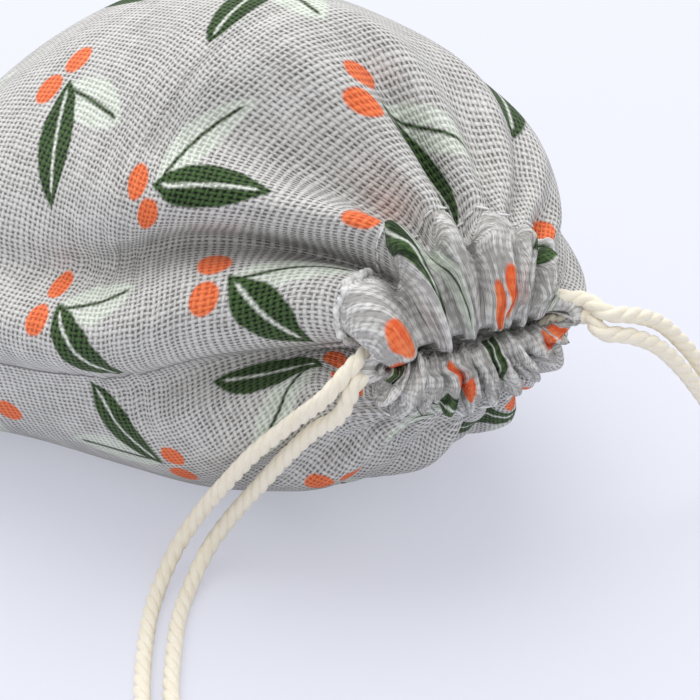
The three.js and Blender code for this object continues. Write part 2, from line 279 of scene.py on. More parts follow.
# Each row: share of the body's cloth, share of the length, side shift, level, half width, rise,
# drop, and how round the lower half is, from 1 for an ellipse down to a flatter, squarer one.
SECTIONS = np.array([
    [0, 0, 0, BOTTOM_LEVEL, wide(0.454), wide(0.0115), wide(0.0115), 1],
    [0.101, 0.071, 0, wide(0.158), wide(0.427), wide(0.115), wide(0.108), 0.95],
    [0.243, 0.204, 0, wide(0.208), wide(0.388), wide(0.227), wide(0.208), 0.86],
    [0.405, 0.384, 0, wide(0.273), wide(0.35), wide(0.3), wide(0.281), 0.8],
    [0.568, 0.565, -1, wide(0.304), wide(0.323), wide(0.335), wide(0.315), 0.8],
    [0.689, 0.714, -2, wide(0.315), wide(0.304), wide(0.338), wide(0.312), 0.84],
    [0.804, 0.839, -4.5, wide(0.327), wide(0.269), wide(0.3), wide(0.262), 0.92],
    [0.905, 0.933, -8, wide(0.338), wide(0.2), wide(0.208), wide(0.173), 1],
    [1, 1, NECK_SIDE, NECK_LEVEL, NECK_HALF_WIDTH, NECK_RISE, NECK_DROP, 1],
])


def lip_row(share, forward, wider, rise_share, drop_share, shift):
    rise = mix(SLIT_HALF_HEIGHT, NECK_RISE, rise_share)
    drop = mix(SLIT_HALF_HEIGHT, NECK_DROP, drop_share)
    return [share, forward, NECK_HALF_WIDTH + wider, rise, drop, shift]


# Each row: share of the casing's cloth, way forward, half width, rise, drop, share of the shift.
LIPS = np.array([
    lip_row(0, 0, 0, 1, 1, 0),
    lip_row(0.2, 0.46, 0.7, 1.036, 1.049, 0.06),
    lip_row(0.45, 0.86, 0.6, 0.82, 0.84, 0.25),
    lip_row(0.7, 1, 0, 0.47, 0.5, 0.6),
    lip_row(0.9, 0.86, -0.8, 0.13, 0.14, 0.9),
    lip_row(1, 0.62, -1.4, 0, 0, 1),
])


def along_rows(rows, place):
    """A smooth curve through rows of numbers. The first number of each row is its place."""
    last = len(rows) - 1
    k = int(np.clip(np.searchsorted(rows[:, 0], place, side="right") - 1, 0, last - 1))
    slopes = []
    for i in (k, k + 1):
        before = rows[max(i - 1, 0)]
        after = rows[min(i + 1, last)]
        slopes.append((after - before) / (after[0] - before[0]))
    step = rows[k + 1, 0] - rows[k, 0]
    u = (place - rows[k, 0]) / step
    start = (2 * u**3 - 3 * u**2 + 1) * rows[k] + (u**3 - 2 * u**2 + u) * step * slopes[0]
    return (start + (3 * u**2 - 2 * u**3) * rows[k + 1] + (u**3 - u**2) * step * slopes[1])[1:]


def section_axes(turn, tilt, roll):
    """The axes of a section: forward out of the mouth, across to the far seam, and up."""
    turn, tilt = math.radians(turn), math.radians(tilt)
    forward = Vector((math.cos(turn) * math.cos(tilt), math.sin(turn) * math.cos(tilt), math.sin(tilt)))
    level = Vector((-math.sin(turn), math.cos(turn), 0))
    rolled = Matrix.Rotation(math.radians(roll), 3, forward)
    return [np.array(axis) for axis in (forward, rolled @ level, rolled @ forward.cross(level))]


NECK_CENTRE = np.array([BAG_LENGTH, NECK_SIDE, NECK_LEVEL])
NECK_AXES = section_axes(NECK_TURN, NECK_TILT, NECK_ROLL)


def at_neck(across, up, forward):
    """A point given in the neck's own axes."""
    return NECK_CENTRE + NECK_AXES[1] * across + NECK_AXES[2] * up + NECK_AXES[0] * forward


def section_at(way):
    """Centre, axes and sizes of a section. Way: 0 at the bottom seam, 1 at the gather, 2 at the slit."""
    if way > 1:
        forward, half_width, rise, drop, shift = along_rows(LIPS, way - 1)
        centre = at_neck(0, -SLIT_SHIFT * shift, LIP_HEIGHT * forward)
        return centre, NECK_AXES[1], NECK_AXES[2], half_width, rise, drop, 1
    along, side, level, half_width, rise, drop, square = along_rows(SECTIONS, way)
    bend = from_to(BEND_FROM, BEND_TO, way)
    axes = section_axes(NECK_TURN * bend, NECK_TILT * bend, mix(BAG_ROLL, NECK_ROLL, bend))
    return np.array([BAG_LENGTH * along, side, level]), axes[1], axes[2], half_width, rise, drop, square


def smooth_ring(way, places):
    """Points of the unfolded bag. Place runs round a section, 0 to 1 over the top, 1 to 2 below."""
    centre, across, up, half_width, rise, drop, square = section_at(way)
    places = places % 2
    ring = np.empty((len(places), 3))
    for half, height, power in ((0, rise, 1), (1, drop, square)):
        angle = math.pi * (np.linspace(0, 1, 181) + half)
        c = np.sign(np.cos(angle)) * np.abs(np.cos(angle)) ** power
        s = np.sign(np.sin(angle)) * np.abs(np.sin(angle)) ** power
        outline = centre - np.outer(half_width * c, across) + np.outer(height * s, up)
        outline[:, 2] = np.maximum(outline[:, 2], 0)
        lengths = run_lengths(outline)
        here = (places >= half) & (places < half + 1)
        target = (places[here] - half) * lengths[-1]
        ring[here] = np.stack([np.interp(target, lengths, outline[:, axis]) for axis in range(3)], 1)
    return ring


def outward(way, places, side=0.004):
    """The unfolded bag's own direction outwards."""
    round_ring = smooth_ring(way, places + side) - smooth_ring(way, places - side)
    along = smooth_ring(min(way + side, 2), places) - smooth_ring(max(way - side, 0), places)
    normal = np.cross(along, round_ring)
    return normal / np.linalg.norm(normal, axis=1, keepdims=True)


print("bag", BAG_LENGTH, "mm long, lips", round(LIP_HEIGHT, 1), "mm high")

# %% [markdown]
# Folds stand out along the surface. The large ones are close to the model's: they run from the
# gather back over the bag. Cloth that is drawn together also crumples between them, with round
# crests and sharp valleys, most of all where the cord pulls it into the slit, so finer folds are
# added to the casing.

# %% Folds
# Each row: place at the neck, place where the fold dies out, half widths at both, the way at which
# it starts, and its height as a share of FOLD_DEPTH. A hollow's height is below 0. The last row is
# no hollow but a slight swell under the near seam.
FOLDS = [
    (0.072, 0.045, 0.08, 0.065, 0.1, 1.05),
    (0.172, 0.08, 0.085, 0.052, 0.1, 1.2),
    (0.365, 0.225, 0.065, 0.07, 0.5, 1.5),
    (0.508, 0.5, 0.055, 0.075, 0.68, 1.1),
    (0.645, 0.605, 0.05, 0.06, 0.62, 1),
    (0.7, 0.755, 0.035, 0.055, 0.66, 0.9),
    (0.765, 0.845, 0.04, 0.06, 0.66, 1),
    (0.86, 0.9, 0.045, 0.06, 0.7, 0.85),
]
PLEAT_SPACING = 1 / (LOWER_PLEATS + 1)
PLEAT_PLACES = [1 + (k + 1) * PLEAT_SPACING for k in range(LOWER_PLEATS)]
PLEATS = [
    (place, place, PLEAT_SPACING * 0.52, PLEAT_SPACING * 0.8, 0.88 if k % 2 else 0.72, 0.75)
    for k, place in enumerate(PLEAT_PLACES)
]
HOLLOWS = [
    (0.266, 0.125, 0.03, 0.04, 0.25, -1.6),
    (0.43, 0.34, 0.04, 0.07, 0.6, -0.6),
    (0.575, 0.56, 0.03, 0.05, 0.66, -0.6),
    (1.94, 1.985, 0.045, 0.05, 0.5, -1.1),
    (1.8, 1.93, 0.12, 0.16, 0.45, 0.5),
]
GATHER_FROM = 0.74
GATHER_LEFT_IN_CASING = 0.4
FOLD_CREST = 1.3
FOLD_GROWTH = 1.25
FOLD_LEFT_IN_CASING = 0.5
HOLLOW_FADES_FROM = 0.92
OPENING_LEFT_AT_SLIT = 0.3


def nearest(place, middle):
    """Signed distance round the ring, which is 2 long."""
    return (place - middle + 1) % 2 - 1


def large_folds(way, place):
    in_casing = min(max(way - 1, 0), 1)
    over_way = min(way, 1)
    drawn_in = GATHER_DRAW * FOLD_DEPTH * from_to(GATHER_FROM, 1, over_way)
    height = np.full(place.shape, -drawn_in * mix(1, GATHER_LEFT_IN_CASING, in_casing))
    for neck_place, end_place, neck_width, end_width, start, depth in FOLDS + PLEATS + HOLLOWS:
        grown = np.clip((over_way - start) / (1 - start), 0, 1)
        middle = mix(end_place, neck_place, grown**FOLD_SWING)
        off = nearest(place, middle) / mix(end_width, neck_width, grown)
        swell = np.cos(math.pi / 2 * np.clip(off, -1, 1)) ** FOLD_CREST
        left = mix(1, FOLD_LEFT_IN_CASING, in_casing)
        if depth < 0:
            left = (1 - in_casing) * (1 - 0.5 * from_to(HOLLOW_FADES_FROM, 1, over_way))
        height += depth * FOLD_DEPTH * ease(grown * FOLD_GROWTH) * swell * left
    return height


def seam_notch(place, half_width):
    """1 on both side seams, falling to 0 away from them."""
    width = half_width / FLAT_WIDTH
    return sum(np.exp(-((nearest(place, seam) / width) ** 2)) for seam in (0, 1))


def side_openings(way, place):
    """The casing is open at both side seams, where the cords come out."""
    in_casing = min(max(way - 1, 0), 1)
    notch = seam_notch(place, OPENING_HALF_WIDTH)
    return -OPENING_DEPTH * notch * ease(in_casing * 4) * mix(1, OPENING_LEFT_AT_SLIT, in_casing)


rng = np.random.default_rng(11)
TOP_GATHERS = 26
LOWER_GATHERS = 27
SMOOTH_END = 0.2


def gather_valleys(first, last, count, spread, starts):
    """Places of the fine valleys over a part of the ring, with where each starts and its depth."""
    spacing = (last - first) / (count + 1)
    rows = []
    for k in range(count):
        place = first + (k + 1 + rng.uniform(-spread, spread)) * spacing
        width = spacing * rng.uniform(0.3, 0.42)
        rows.append((place, width, rng.uniform(*starts), rng.uniform(0.5, 1.3)))
    return rows


VALLEYS = gather_valleys(SMOOTH_END, 1, TOP_GATHERS, 0.24, (1.02, 1.35))
VALLEYS += gather_valleys(1, 2, LOWER_GATHERS, 0.2, (0.93, 1.2))
VALLEY_DEPTH = 2.7
VALLEY_REACH = 0.3
VALLEY_SWAY = 0.009
VALLEY_EDGE = 1.4
CALM_FROM = 1.6
CALM_SHARE = 0.35


def fine_folds(way, place):
    """Sharp valleys between round crests, over the casing and a little way down the neck."""
    height = np.zeros(place.shape)
    for middle, width, start, depth in VALLEYS:
        grown = ease((way - start) / VALLEY_REACH)
        sway = VALLEY_SWAY * math.sin(40 * middle + 6 * way)
        off = np.abs(nearest(place, middle + sway)) / width
        height -= VALLEY_DEPTH * depth * grown * np.clip(1 - off, 0, 1) ** VALLEY_EDGE
    return height * (1 - CALM_SHARE * from_to(CALM_FROM, 2, way))


SEAM_HALF_WIDTH = 0.9
SEAM_DEPTH = 1.3
SEAM_GROWTH = 8
WAVE_HEIGHT = 0.16
LIPS_MEET_FROM = 1.85


def seam_line(way, place):
    """The side seams pull a narrow line into the filled bag, from a little past its bottom."""
    return -SEAM_DEPTH * seam_notch(place, SEAM_HALF_WIDTH) * min(1, way * SEAM_GROWTH)


def soft_waves(way, place):
    """The slight unevenness of hand-filled cloth."""
    phases = ((3, 5, 0.3), (5, 8, 1.9), (8, 4, 4.1), (11, 13, 2.2))
    waves = sum(
        np.sin(math.pi * around * place + phase) * math.sin(lengthwise * way + 2 * phase)
        for around, lengthwise, phase in phases
    )
    return WAVE_HEIGHT * waves * math.sin(math.pi * min(way, 1) * 0.92) ** 0.5


def cloth_ring(way, place):
    """The folded cloth round one section, and how deep each point lies in its folds."""
    folds = large_folds(way, place) + fine_folds(way, place)
    lift = folds + side_openings(way, place) + seam_line(way, place) + soft_waves(way, place)
    if way > LIPS_MEET_FROM:
        lift = np.maximum(lift, -0.4 * SLIT_HALF_HEIGHT)
    ring = smooth_ring(way, place) + outward(way, place) * lift[:, None]
    ring[:, 2] = np.maximum(ring[:, 2], 0)
    return ring, folds


# %% [markdown]
# The weave and the print follow the cloth, not the space around it, so the mesh is laid out as the
# flat cloth is: a column every thread or two round it and a row every thread or two along it. On
# the crests the columns keep their real spacing, and the cloth that is left over goes into the
# valleys.

# %% The cloth's rows and columns
COLUMNS = 224
BODY_ROWS = 90
CASING_ROWS = 18
FINE_PLACES = 1400
LAST_WAY = 1.985
body_ways = np.linspace(0, 1, BODY_ROWS, endpoint=False)
casing_ways = np.linspace(1, LAST_WAY, CASING_ROWS)
cloth_ways = np.r_[body_ways, casing_ways]
thread_round = 2 * FLAT_WIDTH * np.arange(COLUMNS + 1) / COLUMNS
thread_along = np.r_[body_ways * BODY_CLOTH, BODY_CLOTH + (casing_ways - 1) * CASING_CLOTH]
FLATTEST_FOLDS = 1.5
LEAST_SHARE = 0.02


def thread_places(ring, folds):
    """How far round the flat cloth each point of a folded ring lies, in millimetres."""
    half = len(ring) // 2
    closed = np.vstack([ring, ring[:1]])
    steps = np.linalg.norm(np.diff(closed, axis=0), axis=1)
    rise = (folds - folds.min()) / max(np.ptp(folds), FLATTEST_FOLDS)
    valley = np.clip(1 - rise, 0, 1) ** 2
    valley = (valley + np.roll(valley, -1)) / 2 + LEAST_SHARE
    places = [0.0]
    for start in (0, half):
        length = steps[start:start + half]
        hidden = length * valley[start:start + half]
        spare = FLAT_WIDTH - length.sum()
        if spare < 0:
            cloth = length * FLAT_WIDTH / length.sum()
        else:
            cloth = length + hidden * spare / hidden.sum()
        places.extend(places[-1] + np.cumsum(cloth))
    return np.array(places)


def cloth_row(way):
    """One row of the cloth, with its columns where the threads lie."""
    ring, folds = cloth_ring(way, 2 * np.arange(FINE_PLACES) / FINE_PLACES)
    places = thread_places(ring, folds)
    closed = np.vstack([ring, ring[:1]])
    return np.stack([np.interp(thread_round[:-1], places, closed[:, axis]) for axis in range(3)], 1)


folded = np.array([cloth_row(way) for way in cloth_ways])
print("folded cloth:", folded.shape)

# %% [markdown]
# So far the folds are drawn. Real ones come from cloth that has nowhere else to go: the same width
# of cloth is still there where the bag narrows. So the mesh now settles as a simple cloth would:
# each thread takes back its real length, the cloth resists bending, and the filling presses out.
# Blender's own Cloth could do it, but on this grid the same steps are a few lines and seconds.

# %% Let the cloth settle
SETTLE_ROUNDS = 50
MEND_SHARE = 0.8
BEND_SHARE = 0.12
FILLING_PUSH = 0.004
EVEN_SHARE = 0.5
HOLD_BODY = 0.015
HOLD_BOTTOM = 0.06
HOLD_CASING = 0.3
BOTTOM_FADES = (0.16, 0.66)
CASING_STARTS = (0.97, 1.05)
TINY = 1e-9


def pull(first, second, rest):
    """How far the first of two points moves towards the second, and the second towards the first."""
    apart = second - first
    length = np.linalg.norm(apart, axis=2, keepdims=True) + TINY
    return apart * (0.5 * MEND_SHARE * (length - rest) / length)


def settle(points):
    """Moves the points until the threads have their real length again. The casing is held more."""
    start = points.copy()
    thread_step = 2 * FLAT_WIDTH / COLUMNS
    round_rest = np.linalg.norm(np.roll(points, -1, axis=1) - points, axis=2).mean(axis=1, keepdims=True)
    round_rest = np.tile(np.maximum(round_rest, thread_step), (1, COLUMNS))
    along_rest = np.linalg.norm(np.diff(points, axis=0), axis=2)
    along_rest = mix(along_rest, along_rest.mean(axis=1, keepdims=True), EVEN_SHARE)
    ways = cloth_ways[:, None, None]
    casing = from_to(*CASING_STARTS, ways)
    hold = HOLD_BODY + HOLD_BOTTOM * (1 - from_to(*BOTTOM_FADES, ways)) + HOLD_CASING * casing
    loose = 1 - casing
    for _ in range(SETTLE_ROUNDS):
        for first in (0, 1):
            a = np.arange(first, COLUMNS, 2)
            b = (a + 1) % COLUMNS
            shift = pull(points[:, a], points[:, b], round_rest[:, a, None]) * loose
            points[:, a] += shift
            points[:, b] -= shift
            a = np.arange(first, len(points) - 1, 2)
            shift = pull(points[a], points[a + 1], along_rest[a, :, None])
            points[a] += shift
            points[a + 1] -= shift
        bend = (np.roll(points, 1, axis=1) + np.roll(points, -1, axis=1)) / 2 - points
        points += BEND_SHARE * bend * loose
        bend = (points[2:] + points[:-2]) / 2 - points[1:-1]
        points[1:-1] += BEND_SHARE * loose[1:-1] * bend
        along = np.gradient(points, axis=0)
        around = np.roll(points, -1, axis=1) - np.roll(points, 1, axis=1)
        normal = np.cross(along, around)
        normal /= np.linalg.norm(normal, axis=2, keepdims=True) + TINY
        points += FILLING_PUSH * normal * loose
        points += (start - points) * hold
        points[0] = start[0]
        points[-1] = start[-1]
        points[:, :, 2] = np.maximum(points[:, :, 2], 0)
    return points


settled = settle(folded.copy())
print("settled, moved up to", round(float(np.linalg.norm(settled - folded, axis=2).max()), 1), "mm")

# Past the slit the two lips run on into the bag, side by side, which keeps the slit dark.
THROAT = 3
settled = np.concatenate([settled, settled[-1:] - THROAT * NECK_AXES[0]])
thread_along = np.append(thread_along, thread_along[-1] + THROAT)


# %% [markdown]
# The settled grid becomes the cloth's mesh. Both ends are closed, the bottom along its seam and the
# throat inside the slit, so the bag is one closed shape. Each corner keeps its place on the flat
# cloth in two UV maps. One runs on round the bag, for the weave. In the other the back is turned
# over, because the print goes on across the fold at the bottom. One round of subdivision makes the
# folds smooth.

# %% The cloth's mesh
def mesh_object(name, points, faces):
    mesh = bpy.data.meshes.new(name)
    mesh.from_pydata(points.tolist(), [], faces)
    mesh.update()
    made = bpy.data.objects.new(name, mesh)
    scene.collection.objects.link(made)
    return made


def set_uv(mesh, name, corners):
    layer = mesh.uv_layers.new(name=name)
    layer.data.foreach_set("uv", np.asarray(corners, np.float32).ravel())


def in_metres(points):
    return np.asarray(points) * MM + np.array(BAG_ORIGIN)


def build_cloth(points):
    """The grid as a mesh, with each corner's place on the sewn cloth and in the print."""
    row_count = len(points)
    half = COLUMNS // 2
    faces = []
    corners = []
    print_corners = []

    def add(face):
        faces.append([row * COLUMNS + column % COLUMNS for row, column in face])
        behind = min(column for _, column in face) >= half
        for row, column in face:
            round_place = thread_round[column]
            along = thread_along[row]
            corners.append((round_place, along))
            back = (2 * FLAT_WIDTH - round_place, -along)
            print_corners.append(back if behind else (round_place, along))

    for row in range(row_count - 1):
        for column in range(COLUMNS):
            add([(row, column), (row + 1, column), (row + 1, column + 1), (row, column + 1)])
    for row, flip in ((0, False), (row_count - 1, True)):
        for column in range(half):
            near, far = COLUMNS - column, COLUMNS - column - 1
            quad = [(row, column), (row, column + 1), (row, far), (row, near)]
            unique = []
            for corner in quad:
                if corner[1] % COLUMNS not in [u[1] % COLUMNS for u in unique]:
                    unique.append(corner)
            add(unique[::-1] if flip else unique)
    made = mesh_object("pouch_fabric", in_metres(points.reshape(-1, 3)), faces)
    set_uv(made.data, "thread_mm", corners)
    set_uv(made.data, "print_mm", print_corners)
    made.data.shade_smooth()
    return made


def as_plain_mesh(thing):
    """What the object's modifiers make of it becomes its mesh."""
    evaluated = thing.evaluated_get(bpy.context.evaluated_depsgraph_get())
    plain = bpy.data.meshes.new_from_object(evaluated)
    thing.modifiers.clear()
    thing.data = plain
    return plain


def refined(thing):
    """One round of subdivision, applied."""
    smoother = thing.modifiers.new("finer", "SUBSURF")
    smoother.levels = 1
    smoother.render_levels = 1
    as_plain_mesh(thing)
    return thing


bag = refined(build_cloth(settled))
print("cloth:", len(bag.data.polygons), "faces")

# %% [markdown]
# The cloth is an open plain weave: slightly uneven threads cross over and under each other and
# leave small dark holes. An image could show that, but a formula stays sharp at any distance. Two
# sets of threads are drawn from the UV, each a rounded ridge that dips where it passes below.

# %% Weave
THREAD_PITCH_ROUND = 0.84
THREAD_PITCH_ALONG = 1.2
WANDER_ROUND = 1.6
WANDER_ALONG = 1.2
HALF_WIDTH_LENGTHWISE = 0.25
HALF_WIDTH_CROSSWISE = 0.24
THICKER = 0.14
CASING_THICKER = 0.08
DIP = 0.34


def thread_set(finish, place, other, half_width, thickness, in_casing):
    """How far one set of threads covers the cloth, and how high it stands. Other tells over from under."""
    width = half_width + finish.step(thickness, 0.3, 0.7) * THICKER + in_casing * CASING_THICKER
    off = finish.math("ABSOLUTE", finish.math("FRACT", place) - 0.5) / width
    ridge = finish.math("SQRT", finish.math("MAXIMUM", 1 - off * off, 0.0))
    over = finish.math("SINE", other * math.pi)
    return ridge, ridge * (1 - DIP + over * DIP)


def weave(finish, uv, in_casing):
    """How far threads cover the cloth, how high they stand, how thick they are, and a number per cell."""
    round_place, along_place, _ = finish.parts(uv)
    wander = finish.noise(uv, 0.09, 2) - 0.5
    wander_too = finish.noise(finish.vector(along_place, round_place, 7.0), 0.11, 2) - 0.5
    lengthwise = round_place / THREAD_PITCH_ROUND + wander * WANDER_ROUND
    crosswise = along_place / THREAD_PITCH_ALONG + wander_too * WANDER_ALONG
    column = finish.math("FLOOR", lengthwise)
    row = finish.math("FLOOR", crosswise)
    thickness = finish.noise(finish.vector(column * 3.7, along_place * 0.12, 1.0), 1.0, 1)
    thickness_too = finish.noise(finish.vector(round_place * 0.1, row * 4.3, 5.0), 1.0, 1)
    long_cover, long_height = thread_set(
        finish, lengthwise, crosswise + column, HALF_WIDTH_LENGTHWISE, thickness, in_casing)
    cross_cover, cross_height = thread_set(
        finish, crosswise, lengthwise + row + 1.0, HALF_WIDTH_CROSSWISE, thickness_too, in_casing)
    covered = finish.step(finish.math("MAXIMUM", long_cover, cross_cover), 0.12, 0.62)
    height = finish.math("MAXIMUM", long_height, cross_height)
    cell = finish.noise(finish.vector(column * 2.3, row * 3.1, 2.0), 1.0, 0)
    return covered, height, thickness * 0.5 + thickness_too * 0.5, cell


# %% [markdown]
# The print is ink on the flat cloth, so it is drawn in the flat cloth's millimetres and folds with
# it. It is a plain half-drop repeat, four columns to the cloth's width: every second column is
# shifted by half a step. Each figure is a simple sprig of a dark green leaf, a pale leaf and two
# orange berries, turned a little from one to the next.

# %% Print
PRINT_COLUMN = FLAT_WIDTH / 4
PRINT_ROW = 38
LARGEST_TILT = 0.7
LEAF_HALF = (3.8, 10.5)
LEAF_MIDDLE = (4.4, 2.5)
LEAF_LEAN = 0.5
VEIN_HALF = 0.35
VEIN_ENDS = 1.2
BERRY_RADIUS = 2.7
BERRY_PLACES = ((-3.4, -9.0), (3.0, -10.5))
BLEED = 1.0
BLEED_SCALE = 0.2
INK_EDGE = 0.35


def inked(finish, edge):
    """1 where the distance to a figure's edge is below 0, with a soft edge."""
    return 1 - finish.step(edge, -INK_EDGE, INK_EDGE)


def sprig_leaf(finish, x, y, side, bleed):
    """A pointed leaf that leans to one side, without its vein, and the vein. Side is -1 or 1."""
    half_width, half_length = LEAF_HALF
    edge_radius = (half_width**2 + half_length**2) / (2 * half_width)
    from_x = x - side * LEAF_MIDDLE[0]
    from_y = y - LEAF_MIDDLE[1]
    lean_cos = math.cos(LEAF_LEAN)
    lean_sin = side * math.sin(LEAF_LEAN)
    off = finish.math("ABSOLUTE", from_x * lean_cos - from_y * lean_sin)
    along = from_x * lean_sin + from_y * lean_cos
    reach = off + (edge_radius - half_width)
    edge = finish.math("SQRT", reach * reach + along * along) - edge_radius + bleed
    vein = inked(finish, off - VEIN_HALF) * inked(finish, edge + VEIN_ENDS)
    return inked(finish, edge) - vein, vein


def print_masks(finish):
    """Where the cloth is printed green, pale and orange."""
    uv = finish.uv("print_mm")
    x, y, _ = finish.parts(uv)
    step_x = finish.math("FLOOR", x / PRINT_COLUMN)
    drop = (step_x % 2.0) * (PRINT_ROW / 2)
    step_y = finish.math("FLOOR", (y - drop) / PRINT_ROW)
    near_x = x - (step_x + 0.5) * PRINT_COLUMN
    near_y = y - drop - (step_y + 0.5) * PRINT_ROW
    tilt = finish.math("SINE", step_x * 2.4 + step_y * 4.1 + 0.8) * LARGEST_TILT
    cos_tilt = finish.math("COSINE", tilt)
    sin_tilt = finish.math("SINE", tilt)
    figure_x = near_x * cos_tilt + near_y * sin_tilt
    figure_y = near_y * cos_tilt - near_x * sin_tilt
    bleed = (finish.noise(uv, BLEED_SCALE, 1) - 0.5) * BLEED
    green_leaf, pale_vein = sprig_leaf(finish, figure_x, figure_y, -1, bleed)
    pale_leaf, green_vein = sprig_leaf(finish, figure_x, figure_y, 1, bleed)
    berries = []
    for place_x, place_y in BERRY_PLACES:
        from_x = figure_x - place_x
        from_y = figure_y - place_y
        edge = finish.math("SQRT", from_x * from_x + from_y * from_y) - BERRY_RADIUS + bleed
        berries.append(inked(finish, edge))
    green = finish.math("MAXIMUM", green_leaf, green_vein)
    pale = finish.math("MAXIMUM", pale_leaf, pale_vein)
    return green, pale, finish.math("MAXIMUM", *berries)


# %% [markdown]
# The finish puts both together. Each yarn has a painted highlight on its crest and painted shade at
# its sides, and the holes are painted dark as the shade inside the bag, some of them lighter as if
# lit. The casing is two layers thick and drawn together, so hardly a hole shows in it, and it
# crumples into fine creases that run into the slit: they are bumps, with painted shade in their valleys.

# %% Cloth finish
THREAD_LIGHT = srgb(236, 235, 233)
THREAD_SHADE = srgb(178, 176, 173)
# Both hole colours are painted: a dark shade for the shaded inside of the bag seen through the weave, and a
# lighter one for a hole that looks lit.
HOLE_SHADE = srgb(110, 108, 105)
HOLE_LIT = srgb(160, 157, 153)
SEAM_SHADE = srgb(112, 109, 106)
SEAM_EDGE = (0.12, 0.5)
# Each ink: a painted highlight on a crest, painted shade beside it, and painted shade in a hole.
GREEN_INK = (srgb(84, 112, 66), srgb(34, 54, 28), srgb(20, 28, 16))
PALE_INK = (srgb(244, 250, 240), srgb(206, 213, 200), srgb(184, 188, 178))
ORANGE_INK = (srgb(255, 146, 94), srgb(246, 104, 56), srgb(206, 96, 62))


def cloth_finish():
    finish = Finish("cotton_linen")
    uv = finish.uv("thread_mm")
    round_place, along_place, _ = finish.parts(uv)
    in_casing = finish.step(along_place, BODY_CLOTH - 1.0, BODY_CLOTH + 3.0)
    covered, height, slub, cell = weave(finish, uv, in_casing)
    green, pale, orange = print_masks(finish)

    fibres = finish.noise(uv, 5.5, 2)
    blotch = finish.noise(uv, 0.16, 2)
    crumple = finish.noise(finish.vector(round_place * 0.55, along_place * 0.2, 3.0), 1.0, 4)
    # Where the casing crumples, its valleys are darkened too: painted shade in the creases. The same crumple
    # is also the casing's bump.
    painted_crease_shade = in_casing * (finish.step(crumple, 0.35, 0.6) - 0.75)
    lit = finish.step(height, 0.35, 0.95)
    tone = lit * 0.56 + slub * 0.45 + (fibres - 0.5) * 0.5 + (blotch - 0.5) * 0.35 + painted_crease_shade * 1.1

    hole_lit = finish.math("MAXIMUM", finish.step(cell, 0.4, 0.7), in_casing * 0.7)
    yarn = finish.colour(tone, THREAD_SHADE, THREAD_LIGHT)
    # The holes are painted dark as shade, some of them lighter as if lit.
    dark = finish.colour(hole_lit, HOLE_SHADE, HOLE_LIT)
    for mask, (light, shade, hole_shade) in ((pale, PALE_INK), (orange, ORANGE_INK), (green, GREEN_INK)):
        yarn = finish.colour(mask, yarn, finish.colour(tone, shade, light))
        dark = finish.colour(mask, dark, hole_shade)
    colour = finish.colour(finish.math("MAXIMUM", covered, in_casing * 0.6), dark, yarn)

    # The side seams are pressed lines.
    from_seam = finish.math("ABSOLUTE", finish.math("WRAP", round_place, -FLAT_WIDTH / 2, FLAT_WIDTH / 2))
    seam = (1 - finish.step(from_seam + (fibres - 0.5) * 0.5, *SEAM_EDGE)) * (1 - in_casing)
    colour = finish.colour(seam * 0.8, colour, SEAM_SHADE)
    height = height * (1 - in_casing * 0.5) + crumple * in_casing * 5.0 - seam
    return finish.surface(colour, height + fibres * 0.25, 0.3 * MM, roughness=0.92, sheen=0.1, strength=0.9)


bag.data.materials.append(cloth_finish())
print("cloth finish:", len(bag.data.materials[0].node_tree.nodes), "nodes")

# %% [markdown]
# A cord of this kind is three soft plies laid round each other. A plain tube with a striped bump
# would look smooth along its edge, so each ply is its own tube that winds round the cord's line.

# %% Cord helpers
CORD_DIAMETER = 2.2
LAY_LENGTH = 8.0
PLY_RADIUS = 0.84
PLY_OFFSET = 0.57
PLY_SIDES = 10
OPENING_OUT = 0.22
print("cord", CORD_DIAMETER, "mm, one turn in", LAY_LENGTH, "mm")


def smooth_path(points, step):
    """An even, smooth run of points through a given route."""
    points = np.asarray(points, float)
    knots = np.r_[0, np.cumsum(np.linalg.norm(np.diff(points, axis=0), axis=1) ** 0.5)]
    padded = np.vstack([2 * points[0] - points[1], points, 2 * points[-1] - points[-2]])
    times = np.r_[knots[0] - (knots[1] - knots[0]), knots, knots[-1] + (knots[-1] - knots[-2])]
    fine = []
    for k in range(len(points) - 1):
        t0, t1, t2, t3 = times[k:k + 4]
        p0, p1, p2, p3 = padded[k:k + 4]
        for t in np.linspace(t1, t2, 24, endpoint=k == len(points) - 2):
            a1 = p0 + (p1 - p0) * (t - t0) / (t1 - t0)
            a2 = p1 + (p2 - p1) * (t - t1) / (t2 - t1)
            a3 = p2 + (p3 - p2) * (t - t2) / (t3 - t2)
            b1 = a1 + (a2 - a1) * (t - t0) / (t2 - t0)
            b2 = a2 + (a3 - a2) * (t - t1) / (t3 - t1)
            fine.append(b1 + (b2 - b1) * (t - t1) / (t2 - t1))
    fine = np.array(fine)
    lengths = run_lengths(fine)
    even = np.linspace(0, lengths[-1], max(int(lengths[-1] / step), 2))
    return np.stack([np.interp(even, lengths, fine[:, axis]) for axis in range(3)], 1)


def carried_axes(path):
    """For each point, two directions square to the path that don't twist along it."""
    run = np.gradient(path, axis=0)
    run /= np.linalg.norm(run, axis=1, keepdims=True)
    side = np.cross(run[0], (0, 0, 1))
    if np.linalg.norm(side) < 0.1:
        side = np.cross(run[0], (0, 1, 0))
    sides = []
    for direction in run:
        side = side - direction * side.dot(direction)
        side = side / np.linalg.norm(side)
        sides.append(side)
    sides = np.array(sides)
    return sides, np.cross(run, sides)


